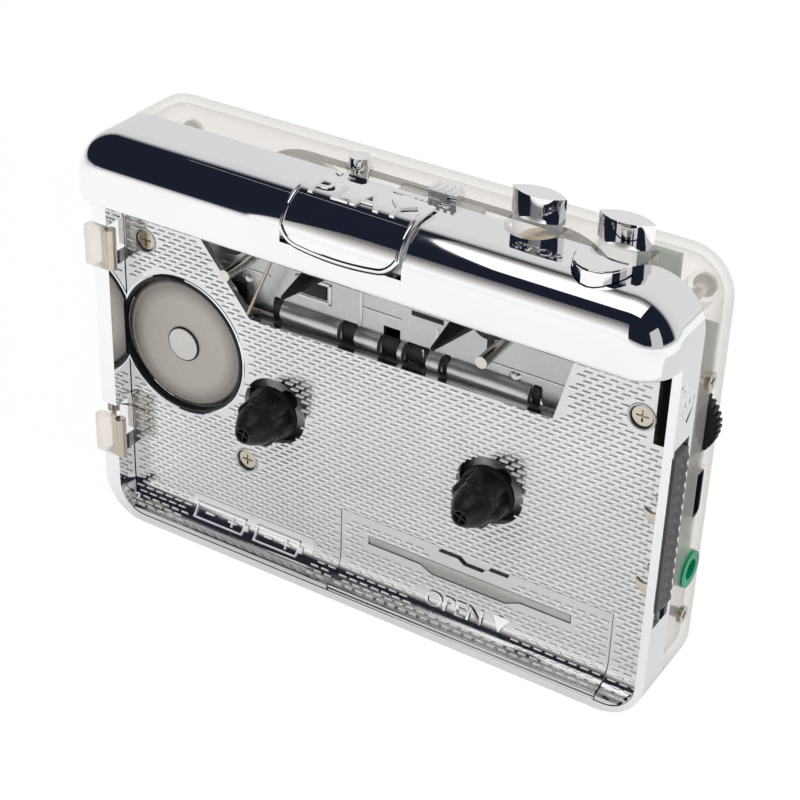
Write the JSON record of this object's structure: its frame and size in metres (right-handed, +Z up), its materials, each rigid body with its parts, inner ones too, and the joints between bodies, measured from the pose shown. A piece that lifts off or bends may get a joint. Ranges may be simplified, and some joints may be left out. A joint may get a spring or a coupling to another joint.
{
  "type": "portable cassette player",
  "caption": "Pocket cassette player with a chrome front shell, open cassette well, clear rear shell and hinged clear door, button row on top and tape mechanism inside.",
  "frame": {"origin": "on the base face, midway between the two reels, in the front plane of the well plate", "axes": "+Z up, +X to the right, +Y to the back; the well faces -Y"},
  "size_m": [0.218, 0.0295, 0.084],
  "materials": {
    "chrome_shell": "mirror chrome plating on moulded plastic",
    "key_chrome": "mirror chrome plating",
    "silver_plate": "silver metallised plastic, embossed with a woven dash",
    "silver_flap": "silver metallised plastic, embossed",
    "clear_plastic": "clear moulded plastic",
    "clear_stem": "clear moulded plastic",
    "motor_steel": "brushed warm grey steel",
    "boss_steel": "turned steel",
    "sheet_steel": "satin zinc-plated sheet",
    "dark_plastic": "dark grey moulding",
    "black_plastic": "black acetal",
    "slider_grey": "dark grey knurled moulding",
    "rubber": "black rubber",
    "brass": "turned brass",
    "polished_steel": "bright steel",
    "hook_metal": "nickel plated steel",
    "screw_steel": "nickel plated steel",
    "head_metal": "polished head case",
    "board_green": "green lacquered board",
    "component_red": "coated components",
    "jack_green": "green moulding"
  },
  "bodies": {
    "case": {"front_shell": "chrome_shell", "well_plate": "silver_plate", "rear_shell": "clear_plastic", "door_hinge_pin": "polished_steel", "door_spring": "polished_steel", "motor_can": "motor_steel", "motor_boss": "boss_steel", "motor_bracket": "dark_plastic", "drive_belt": "rubber", "capstan_bushes": "brass", "chassis_plate": "sheet_steel", "deck_plate": "sheet_steel", "chassis_posts": "sheet_steel", "locating_blades": "black_plastic", "tape_sensor": "polished_steel", "mode_switch": "dark_plastic", "battery_tray": "dark_plastic", "battery_spring": "polished_steel", "battery_contact": "brass", "plate_screws": "screw_steel", "side_screws": "screw_steel", "rear_screws": "screw_steel", "circuit_board": "board_green", "board_components": "component_red", "usb_socket": "polished_steel", "headphone_jack": "jack_green", "volume_control": "dark_plastic", "latch_spring": "polished_steel", "play_spring": "polished_steel", "stop_spring": "polished_steel", "rewind_spring": "polished_steel", "forward_spring": "polished_steel"},
    "door": {"cassette_door": "clear_plastic"},
    "head_carriage": {"head_bracket": "sheet_steel", "tape_head": "head_metal"},
    "play_key": {"play_button": "key_chrome"},
    "stop_key": {"stop_button": "key_chrome"},
    "rewind_key": {"rewind_cap": "key_chrome", "rewind_stem": "clear_stem"},
    "forward_key": {"forward_cap": "key_chrome", "forward_stem": "clear_stem"},
    "direction_key": {"direction_button": "key_chrome"},
    "mode_knob": {"mode_slider": "key_chrome"},
    "opener": {"open_slider": "slider_grey", "latch_hooks": "hook_metal"},
    "flap": {"battery_flap": "silver_flap"},
    "reel_left": {"reel_spindle_left": "black_plastic", "reel_turntable_left": "black_plastic"},
    "reel_right": {"reel_spindle_right": "black_plastic", "reel_turntable_right": "black_plastic"},
    "drive_left": {"capstan_left": "polished_steel", "flywheel_left": "brass"},
    "drive_right": {"capstan_right": "polished_steel", "flywheel_right": "brass"},
    "motor_rotor": {"motor_pulley": "brass"},
    "pinch_left": {"pinch_arm_left": "sheet_steel"},
    "pinch_right": {"pinch_arm_right": "sheet_steel"},
    "roller_left": {"pinch_roller_left": "rubber"},
    "roller_right": {"pinch_roller_right": "rubber"},
    "volume": {"volume_wheel": "black_plastic"}
  },
  "joints": [
    {"name": "door_hinge", "type": "hinge", "parent": "case", "child": "door", "pos_m": [-0.0546, -0.0031, 0.035], "axis": [0, 0, 1], "range_deg": [0, 180], "stiffness_Nm_per_rad": 0.002, "springref_deg": -28.65},
    {"name": "play_press", "type": "slide", "parent": "case", "child": "play_key", "axis": [0, 0, -1], "range_m": [0, 0.0024], "stiffness_N_per_m": 250, "springref_m": -0.002, "deforming": ["play_spring"]},
    {"name": "head_slide", "type": "slide", "parent": "case", "child": "head_carriage", "axis": [0, 0, -1], "range_m": [0, 0.0036]},
    {"name": "pinch_left_swing", "type": "hinge", "parent": "case", "child": "pinch_left", "pos_m": [-0.0312, 0, 0.0706], "axis": [0, 1, 0], "range_deg": [0, 17]},
    {"name": "pinch_right_swing", "type": "hinge", "parent": "case", "child": "pinch_right", "pos_m": [0.0312, 0, 0.0706], "axis": [0, -1, 0], "range_deg": [0, 17]},
    {"name": "stop_press", "type": "slide", "parent": "case", "child": "stop_key", "axis": [0, 0, -1], "range_m": [0, 0.002], "stiffness_N_per_m": 250, "springref_m": -0.002, "deforming": ["stop_spring"]},
    {"name": "rewind_press", "type": "slide", "parent": "case", "child": "rewind_key", "axis": [0, 0, -1], "range_m": [0, 0.002], "stiffness_N_per_m": 250, "springref_m": -0.002, "deforming": ["rewind_spring"]},
    {"name": "forward_press", "type": "slide", "parent": "case", "child": "forward_key", "axis": [0, 0, -1], "range_m": [0, 0.002], "stiffness_N_per_m": 250, "springref_m": -0.002, "deforming": ["forward_spring"]},
    {"name": "direction_press", "type": "slide", "parent": "case", "child": "direction_key", "axis": [0, 0, -1], "range_m": [0, 0.0008], "stiffness_N_per_m": 250, "springref_m": -0.001},
    {"name": "mode_slide", "type": "slide", "parent": "case", "child": "mode_knob", "axis": [-1, 0, 0], "range_m": [0, 0.005]},
    {"name": "open_slide", "type": "slide", "parent": "case", "child": "opener", "axis": [0, 0, -1], "range_m": [0, 0.0025], "stiffness_N_per_m": 200, "springref_m": -0.002, "deforming": ["latch_spring"]},
    {"name": "battery_flap_hinge", "type": "hinge", "parent": "case", "child": "flap", "pos_m": [0.01905, -0.00388, 0.00232], "axis": [-1, 0, 0], "range_deg": [-100, 0]},
    {"name": "reel_left_spin", "type": "hinge", "parent": "case", "child": "reel_left", "pos_m": [-0.02125, 0, 0.0313], "axis": [0, 1, 0], "continuous": true},
    {"name": "reel_right_spin", "type": "hinge", "parent": "case", "child": "reel_right", "pos_m": [0.02125, 0, 0.0313], "axis": [0, 1, 0], "continuous": true},
    {"name": "capstan_left_spin", "type": "hinge", "parent": "case", "child": "drive_left", "pos_m": [-0.0238, 0, 0.0615], "axis": [0, 1, 0], "continuous": true},
    {"name": "capstan_right_spin", "type": "hinge", "parent": "case", "child": "drive_right", "pos_m": [0.0238, 0, 0.0615], "axis": [0, 1, 0], "continuous": true},
    {"name": "motor_spin", "type": "hinge", "parent": "case", "child": "motor_rotor", "pos_m": [-0.041, 0.013, 0.0378], "axis": [0, 1, 0], "continuous": true},
    {"name": "roller_left_spin", "type": "hinge", "parent": "pinch_left", "child": "roller_left", "pos_m": [-0.0238, -0.006, 0.068], "axis": [0, 1, 0], "continuous": true},
    {"name": "roller_right_spin", "type": "hinge", "parent": "pinch_right", "child": "roller_right", "pos_m": [0.0238, -0.006, 0.068], "axis": [0, 1, 0], "continuous": true},
    {"name": "volume_turn", "type": "hinge", "parent": "case", "child": "volume", "pos_m": [0.0492, 0.0088, 0.0513], "axis": [0, 1, 0], "range_deg": [0, 270]}
  ],
  "couplings": [
    {"joint": "head_slide", "follows": "play_press", "ratio": 1.5},
    {"joint": "pinch_left_swing", "follows": "play_press", "rad_per_m": 123.5},
    {"joint": "pinch_right_swing", "follows": "play_press", "rad_per_m": 123.5},
    {"joint": "capstan_left_spin", "follows": "motor_spin", "ratio": 0.18333},
    {"joint": "capstan_right_spin", "follows": "motor_spin", "ratio": 0.18333}
  ]
}
